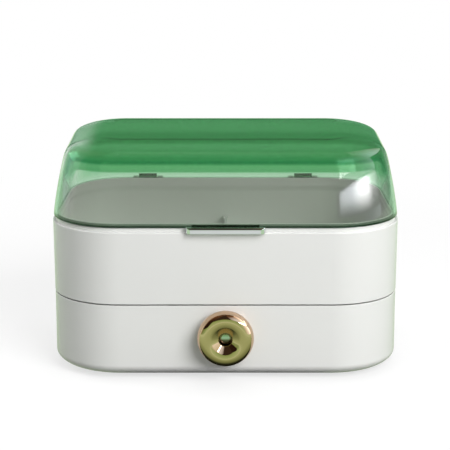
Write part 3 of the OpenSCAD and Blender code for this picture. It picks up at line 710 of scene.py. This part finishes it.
def lowerTier():
    inner = lower["inset"] + lower["wall"]
    bm = sweepRing([
        [lower["floorIn"], lower["floorTop"]],
        [inner, lower["floorTop"], *lower["innerRound"]],
        [inner, lower["upstand"], lower["upstandRound"]],
        [lower["upstandIn"], lower["upstand"], lower["upstandRound"]],
        [lower["upstandIn"], lower["top"]],
        [lower["inset"], lower["top"], lower["rimRound"]],
        [lower["inset"], lower["bottom"], lower["roundWide"], lower["roundHigh"]],
        [lower["floorIn"], lower["bottom"]]], bodyPlan)
    closeHoles(bm)
    # the wall stops behind the drawer's front, and the floor runs on under it
    cut = bodyPlan["frontY"] + lower["frontGap"]
    wall = [face for face in bm.faces if len(face.verts) == 4]
    bmesh.ops.bisect_plane(bm, geom=wall + bm.edges[:] + bm.verts[:], plane_co=(0, cut, 0),
                           plane_no=(0, -1, 0), dist=0.0001)
    ahead = [face for face in bm.faces if len(face.verts) < 6 and face.calc_center_median().y < cut]
    bmesh.ops.delete(bm, geom=ahead, context="FACES")
    lip = [edge for edge in bm.edges if edge.is_boundary
           and all(v.co.z < lower["floorTop"] + 0.1 for v in edge.verts)
           and abs(edge.verts[0].co.z - edge.verts[1].co.z) < 0.01
           and max(v.co.y for v in edge.verts) <= cut + 0.001
           and min(v.co.y for v in edge.verts) < cut - 0.001]
    bmesh.ops.bridge_loops(bm, edges=lip)
    closeHoles(bm)
    bmesh.ops.recalc_face_normals(bm, faces=bm.faces[:])
    roundEnds(bm, lower["endRound"])
    for side in (-1, 1):
        for x, y, z, length in lower["bosses"]:
            addTo(bm, rod((side * x, centreY + y, z), lower["bossR"], length, "Z", lower["bossRound"], 32))
        for (x, y, z), size in lower["webs"]:
            addTo(bm, block((side * x, centreY + y, z), size))
        x, y, z = lower["guide"]
        addTo(bm, block((side * x, centreY + y, z), lower["guideSize"], lower["guideRound"]))
    finishPiece(bm, "lower_tier_shell", "case", glossWhite, "base_shell")


lowerTier()
print("lower tier built")


upper = {
    "bottom": 63.9, "shoulder": 123.4, "shoulderRound": 0.9, "draftTo": 122.0, "draft": 0.45, "rim": 126.9,
    "lip": 129.9, "lipIn": 4.3, "lipThick": 1.4, "lipFrom": 122.4, "wallTo": 118.4, "wallIn": 3.45,
    "bandIn": 2.0, "floorTop": 68.5, "floorRound": 3.4, "floorIn": 6.95, "underside": 66.0, "skirtIn": 1.85,
    "wallRound": 1.5, "lipRound": 0.4, "rimRound": 0.3, "skirtRound": 0.35,
    # pairs of low ribs on the floor and tall ones at the walls hold the dividers
    "dividerY": 23.75, "dividerX": 46.0, "ribStep": 1.75, "ribThick": 1.2, "ribRound": 0.25,
    "floorRibZ": 69.25, "floorRibHigh": 2.5, "wallRibZ": 81.3, "wallRibHigh": 26.4, "wallRib": 5.8,
    "wallRibX": 136.35, "wallRibBack": 91.85, "wallRibFront": -80.35,
    "acrossLong": 267, "rearMiddle": 59.25, "rearLong": 61, "frontMiddle": -27.75, "frontLong": 98,
    # the drawer's hook meets this at the end of its travel
    "stopPlace": (0, -22.05, 64.5), "stopSize": (30, 2, 4),
}
hinge = {
    "x": 70.0, "y": 101.15, "z": 127.4, "r": 3.2, "earLength": 5.0, "knuckleLength": 16.0, "gap": 0.4,
    "round": 0.4, "webRound": 0.3,
    # outlines seen from the side, as Y and Z
    "earWeb": [[96.8, 110.4], [104.3, 119.4], [104.3, 127.4], [97.95, 127.4], [97.95, 121.9],
               [96.8, 121.9]],
    "knuckleWeb": [[95.35, 127.1], [101.15, 127.1], [101.15, 130.6], [95.35, 133.8]],
}


def upperTray():
    innerLip = upper["lipIn"] + upper["lipThick"]
    bm = sweepRing([
        [upper["floorIn"], upper["floorTop"]],
        [upper["wallIn"], upper["floorTop"], upper["floorRound"]],
        [upper["wallIn"], upper["wallTo"], upper["wallRound"]],
        [innerLip, upper["lipFrom"], upper["wallRound"]],
        [innerLip, upper["lip"], upper["lipRound"]],
        [upper["lipIn"], upper["lip"], upper["lipRound"]],
        [upper["lipIn"], upper["rim"], upper["rimRound"]],
        [upper["bandIn"], upper["rim"], upper["lipRound"]],
        [upper["bandIn"], upper["shoulder"]],
        [0, upper["shoulder"], upper["shoulderRound"]],
        [0, upper["draftTo"]],
        [upper["draft"], upper["bottom"], upper["skirtRound"]],
        [upper["skirtIn"], upper["bottom"]],
        [upper["skirtIn"], upper["underside"]],
        [upper["floorIn"], upper["underside"]]], bodyPlan)
    closeHoles(bm)
    reach = (hinge["knuckleLength"] + hinge["earLength"]) / 2 + hinge["gap"]
    for side in (-1, 1):
        for end in (-1, 1):
            addTo(bm, hingeEar(side * hinge["x"] + end * reach))
    for end in (-1, 1):
        addRibs(bm, end * upper["ribStep"])
    addTo(bm, block(upper["stopPlace"], upper["stopSize"], upper["ribRound"]))
    finishPiece(bm, "upper_tier_tray", "case", glossWhite, "upper_tray")


def addRibs(bm, step):
    thick, long = upper["ribThick"], upper["wallRib"]
    y = upper["dividerY"] + step

    def low(place, size):
        addTo(bm, block((*place, upper["floorRibZ"]), (*size, upper["floorRibHigh"]), upper["ribRound"]))

    def tall(place, size):
        addTo(bm, block((*place, upper["wallRibZ"]), (*size, upper["wallRibHigh"]), upper["ribRound"]))

    low((0, y), (upper["acrossLong"], thick))
    low((step, upper["rearMiddle"]), (thick, upper["rearLong"]))
    tall((step, upper["wallRibBack"]), (thick, long))
    for side in (-1, 1):
        x = side * upper["dividerX"] + step
        tall((side * upper["wallRibX"], y), (long, thick))
        low((x, upper["frontMiddle"]), (thick, upper["frontLong"]))
        tall((x, upper["wallRibFront"]), (thick, long))


def hingeEar(x):
    # an eye round the pin with a gusset down to the tray's back wall
    left = x - hinge["earLength"] / 2
    long = (hinge["earLength"], 0, 0)
    bm = bmesh.new()
    bmesh.ops.create_circle(bm, cap_ends=False, segments=40, radius=hinge["r"])
    rotateAll(bm, 90, "Y")
    bmesh.ops.translate(bm, vec=(left, hinge["y"], hinge["z"]), verts=bm.verts[:])
    bmesh.ops.contextual_create(bm, geom=bm.edges[:])
    pullOut(bm, bm.faces[:], long)
    bmesh.ops.recalc_face_normals(bm, faces=bm.faces[:])
    roundEdges(bm, hinge["round"], 2, isSharp)
    addTo(bm, plate(hinge["earWeb"], lambda y, z: (left, y, z), long, hinge["webRound"]))
    return bm


upperTray()
print("upper tray built")


dividerSize = {"high": 26.0, "thick": 2.0, "topCut": 3.0, "footCut": 4.0, "round": 0.45}


def divider(name, bodyName, node, alongX):
    high, topCut, footCut = dividerSize["high"], dividerSize["topCut"], dividerSize["footCut"]
    thick, base = dividerSize["thick"], upper["floorTop"]
    first, last = (corner * 1000 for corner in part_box(node))
    middle = (first + last) / 2
    start, end = (first.x, last.x) if alongX else (first.y, last.y)
    outline = [[start + footCut, base], [end - footCut, base], [end, base + footCut],
               [end, base + high - topCut], [end - topCut, base + high], [start + topCut, base + high],
               [start, base + high - topCut], [start, base + footCut]]
    if alongX:
        place, direction = lambda run, z: (run, middle.y - thick / 2, z), (0, thick, 0)
    else:
        place, direction = lambda run, z: (middle.x - thick / 2, run, z), (thick, 0, 0)
    bm = plate(outline, place, direction, dividerSize["round"])
    finishPiece(bm, name, bodyName, dividerWhite, node)


for place in ("long", "front_left", "front_right", "rear"):
    divider(place + "_divider_plate", place + "_divider", "divider_" + place, place == "long")
print("dividers built")


lid = {
    "bottom": 127.1, "top": 190.7, "inset": 0.7, "lean": 12.7, "leanPower": 1.28, "crown": 33.0,
    "crownPower": 18.5, "crownRoot": 1.15, "thick": 2.4, "rimRound": 0.5, "rows": 64, "steps": 32,
    # the tongue that the pull is screwed to, seen from the side as Y and Z
    "tongueWide": 54.2, "tongueRound": 0.2,
    "tongue": [[-85.25, 125.15], [-90.75, 125.15], [-90.75, 127.65], [-87.05, 127.65], [-85.75, 129.6],
               [-85.25, 129.6]],
}


def lidDome():
    corners = []
    for k in range(lid["rows"] + 1):
        u = math.sin(math.radians(90 * k / lid["rows"]))
        crown = lid["crown"] * (1 - max(1 - u ** lid["crownPower"], 0) ** (1 / lid["crownRoot"]))
        corners.append([lid["inset"] + lid["lean"] * u ** lid["leanPower"] + crown,
                        lid["bottom"] + (lid["top"] - lid["bottom"]) * u])
    bm = sweepRing(corners, dict(bodyPlan, steps=lid["steps"]))
    closeHoles(bm, lambda edge: edge.verts[0].co.z > lid["top"] - 1)
    bmesh.ops.recalc_face_normals(bm, faces=bm.faces[:])
    bmesh.ops.solidify(bm, geom=bm.faces[:], thickness=lid["thick"])
    roundEdges(bm, lid["rimRound"], 3,
               lambda edge: isSharp(edge, 60) and edge.verts[0].co.z < lid["bottom"] + 0.9)
    for side in (-1, 1):
        addTo(bm, lidKnuckle(side * hinge["x"]))
    half = lid["tongueWide"] / 2
    addTo(bm, plate(lid["tongue"], lambda y, z: (-half, y, z), (2 * half, 0, 0), lid["tongueRound"]))
    finishPiece(bm, "lid_dome", "lid", lidClear, "lid_shell")


def lidKnuckle(x):
    half = hinge["knuckleLength"] / 2
    bm = rod((x, hinge["y"], hinge["z"]), hinge["r"], 2 * half, "X", hinge["round"], 40)
    addTo(bm, plate(hinge["knuckleWeb"], lambda y, z: (x - half, y, z), (2 * half, 0, 0), hinge["round"]))
    return bm


lidDome()
print("lid built")


pull = {
    "wide": 63.2, "front": -92.55, "back": -87.05, "bottom": 123.6, "high": 4.8, "cornerR": 4.0,
    "cornerSteps": 12, "bevelBack": 1.5, "bevelDown": 1.3, "pocketEdge": 1.1, "pocketDeep": 3.7,
    "edgeRound": 0.3, "sharpAngle": 30,
}


def lidPull():
    # a bar with round front corners and a bevelled top edge, hollow at the back for the lid's tongue
    front, back, bottom = pull["front"], pull["back"], pull["bottom"]
    top = bottom + pull["high"]
    bm = block((0, (front + back) / 2, (bottom + top) / 2), (pull["wide"], back - front, top - bottom))
    roundEdges(bm, pull["cornerR"], pull["cornerSteps"],
               lambda edge: all(v.co.y < front + 0.01 for v in edge.verts)
               and abs(edge.verts[0].co.x - edge.verts[1].co.x) < 0.01
               and abs(edge.verts[0].co.z - edge.verts[1].co.z) > 1)
    slope = Vector((0, -pull["bevelDown"], pull["bevelBack"])).normalized()
    bmesh.ops.bisect_plane(bm, geom=bm.verts[:] + bm.edges[:] + bm.faces[:], dist=0.0001,
                           plane_co=(0, front + pull["bevelBack"], top), plane_no=slope, clear_outer=True)
    closeHoles(bm)
    bmesh.ops.recalc_face_normals(bm, faces=bm.faces[:])
    rear = [face for face in bm.faces if face.normal.y > 0.9]
    bmesh.ops.inset_region(bm, faces=rear, thickness=pull["pocketEdge"], depth=0)
    rear = [face for face in bm.faces if face.normal.y > 0.9 and abs(face.calc_center_median().x) < 1
            and abs(face.calc_center_median().z - (bottom + top) / 2) < 0.3]
    pullOut(bm, rear, (0, -pull["pocketDeep"], 0))
    bmesh.ops.delete(bm, geom=rear, context="FACES_ONLY")
    bmesh.ops.recalc_face_normals(bm, faces=bm.faces[:])
    outside = {edge for edge in bm.edges if any(v.co.y < back - 0.01 for v in edge.verts)
               and all(v.co.z < bottom + 0.01 or v.co.z > top - pull["bevelDown"] - 0.01
                       for v in edge.verts)}
    roundEdges(bm, pull["edgeRound"], 3, lambda edge: edge in outside and isSharp(edge, 25))
    finishPiece(bm, "lid_pull_bar", "lid", chromePlate, "lid_pull",
                pull["sharpAngle"])


lidPull()
print("pull built")


drawerPlan = roundedPlan(255.0, -78.75, 76.25, 45.0, 20)
drawer = {
    "top": 60.9, "wall": 2.0, "bottom": 4.5, "outerRound": 8.9, "innerRound": 6.9, "floorIn": 9.0,
    "rimRound": 0.35, "hookPlace": (0, 75.25, 61.2), "hookSize": (24, 2, 6.6), "hookRound": 0.3,
}


def drawerBox():
    inside = drawer["bottom"] + drawer["wall"]
    bm = sweepRing([
        [drawer["floorIn"], inside],
        [drawer["wall"], inside, drawer["innerRound"]],
        [drawer["wall"], drawer["top"], drawer["rimRound"]],
        [0, drawer["top"], drawer["rimRound"]],
        [0, drawer["bottom"], drawer["outerRound"]],
        [drawer["floorIn"], drawer["bottom"]]], drawerPlan)
    closeHoles(bm)
    addTo(bm, block(drawer["hookPlace"], drawer["hookSize"], drawer["hookRound"]))
    finishPiece(bm, "drawer_tray", "drawer", satinWhite, "drawer_box")


wrap = {
    "thick": 2.8, "floorIn": 23.4, "floorThick": 2.2, "innerRound": (20.0, 9.5), "endRound": 0.3,
    # a thin lip stands up in front of a ledge, which keeps the line between the tiers dark
    "lip": 0.9, "lipHigh": 1.4, "rimRound": 0.3, "lipRound": 0.2,
    # the bosses behind it, for the four screws and the knob's own
    "bossY": -81.4, "bossLong": 4.6, "screwX": 60, "screwZ": (22, 50), "screwBossR": 4, "knobBossR": 7,
    # the deck between the ledge and the drawer's rim
    "deckDrop": 0.1, "deckThick": 1.9, "deckOut": 3.0, "deckIn": 2.0, "deckRun": 3.5,
}


def drawerFront():
    x, y, r = bodyPlan["cornerX"], bodyPlan["frontY"], bodyPlan["cornerR"]
    outer = lower["inset"]
    inner, lip = outer + wrap["thick"], outer + wrap["lip"]
    inside = lower["bottom"] + wrap["floorThick"]
    ledge = lower["top"] - wrap["lipHigh"]
    bm = bmesh.new()
    drawSection(bm, [
        [outer, lower["top"], wrap["rimRound"]],
        [outer, lower["bottom"], lower["roundWide"], lower["roundHigh"]],
        [wrap["floorIn"], lower["bottom"]],
        [wrap["floorIn"], inside],
        [inner, inside, *wrap["innerRound"]],
        [inner, ledge, wrap["lipRound"]],
        [lip, ledge],
        [lip, lower["top"], wrap["lipRound"]]], lambda inset, z: (-x - r + inset, y, z), True)
    edge = turn(bm, bm.verts[:] + bm.edges[:], (-x, y, 0), 90, bodyPlan["steps"])
    edge = runStraight(bm, edge, 2 * x, 0)
    turn(bm, edge, (x, y, 0), 90, bodyPlan["steps"])
    closeHoles(bm)
    bmesh.ops.recalc_face_normals(bm, faces=bm.faces[:])
    roundEnds(bm, wrap["endRound"])
    addTo(bm, drawerDeck(ledge - wrap["deckDrop"]))
    for side in (-1, 1):
        for z in wrap["screwZ"]:
            place = (side * wrap["screwX"], wrap["bossY"], z)
            addTo(bm, rod(place, wrap["screwBossR"], wrap["bossLong"], "Y"))
    addTo(bm, rod((0, wrap["bossY"], knob["place"][2]), wrap["knobBossR"], wrap["bossLong"], "Y"))
    finishPiece(bm, "drawer_wrap_front", "drawer", glossWhite, "drawer_front")


def drawLine(bm, verts, x, y):
    made = bmesh.ops.extrude_vert_indiv(bm, verts=verts)["verts"]
    bmesh.ops.translate(bm, vec=(x, y, 0), verts=made)
    return made


def drawBend(bm, verts, x, y):
    return onlyVerts(turn(bm, verts, (x, y, 0), 90, bodyPlan["steps"]))


def drawerDeck(top):
    # it fills the top between the wrapped front and the drawer's own rim
    bm = bmesh.new()
    x, y, r = bodyPlan["cornerX"], bodyPlan["frontY"], bodyPlan["cornerR"]
    line = drawBend(bm, [bm.verts.new((-x - r + wrap["deckOut"], y, top))], -x, y)
    line = drawLine(bm, line, 2 * x, 0)
    drawBend(bm, line, x, y)
    x, y, r, run = drawerPlan["cornerX"], drawerPlan["frontY"], drawerPlan["cornerR"], wrap["deckRun"]
    line = drawLine(bm, [bm.verts.new((-x - r + wrap["deckIn"], y + run, top))], 0, -run)
    line = drawBend(bm, line, -x, y)
    line = drawLine(bm, line, 2 * x, 0)
    line = drawBend(bm, line, x, y)
    drawLine(bm, line, 0, run)
    bmesh.ops.bridge_loops(bm, edges=bm.edges[:])
    bmesh.ops.recalc_face_normals(bm, faces=bm.faces[:])
    pullOut(bm, bm.faces[:], (0, 0, -wrap["deckThick"]))
    bmesh.ops.recalc_face_normals(bm, faces=bm.faces[:])
    return bm


knob = {
    # the ring's middle; distances behind it grow backwards
    "place": (0.0, -95.65, 38.4), "r": 22.85, "half": 8.7, "ridge": 15.6, "hole": 5.45, "throat": -3.4,
    "throatRound": 0.5, "throatSlope": 35, "seat": 1.6, "stem": 13.15, "stemBack": 9.5,
    "ringSteps": 160, "ringFine": 4,
    "cap": 5.35, "capHigh": 3.6, "dome": 3.0, "domeFlat": 0.05, "capSteps": 96, "capFine": 3,
}


def ringKnob():
    # a round rim, a front that crowns at the ridge and a cone down to the hole
    half, r, ridge, hole, seat = knob["half"], knob["r"], knob["ridge"], knob["hole"], knob["seat"]
    slope = math.tan(math.radians(knob["throatSlope"]))
    coneR = hole + (half + knob["throat"]) / slope
    bm = lathe([
        [0, seat],
        [hole, seat],
        [hole, knob["throat"], knob["throatRound"]],
        [coneR, -half, ridge - coneR],
        [r, -half, r - ridge, half],
        [r, half, r - ridge, half],
        [knob["stem"], half],
        [knob["stem"], knob["stemBack"]],
        [0, knob["stemBack"]]], knob["place"], knob["ringSteps"], knob["ringFine"])
    finishPiece(bm, "knob_gold_ring", "drawer", goldPlate, "knob_ring")


def knobCap():
    seat, cap = knob["seat"], knob["cap"]
    top = seat - knob["capHigh"]
    bm = lathe([
        [0, seat],
        [cap, seat],
        [cap, top, cap - knob["domeFlat"], knob["dome"]],
        [0, top]], knob["place"], knob["capSteps"], knob["capFine"])
    finishPiece(bm, "knob_dome_cap", "drawer", capPlate, "knob_cap")


drawerBox()
drawerFront()
print("drawer built")
ringKnob()
knobCap()
print("knob built")


# the CAD nodes whose shape is right keep it, with a finish of their own
def dressNode(node, material):
    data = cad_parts[node].data
    data.materials.clear()
    data.materials.append(material)


dressNode("foot_pads", padRubber)
dressNode("glide_strips", slideWhite)
dressNode("hinge_pins", pinSteel)
for node in ("tier_screws", "pull_screws", "panel_screws", "knob_washer", "knob_screw"):
    dressNode(node, screwSteel)
print("CAD nodes dressed")
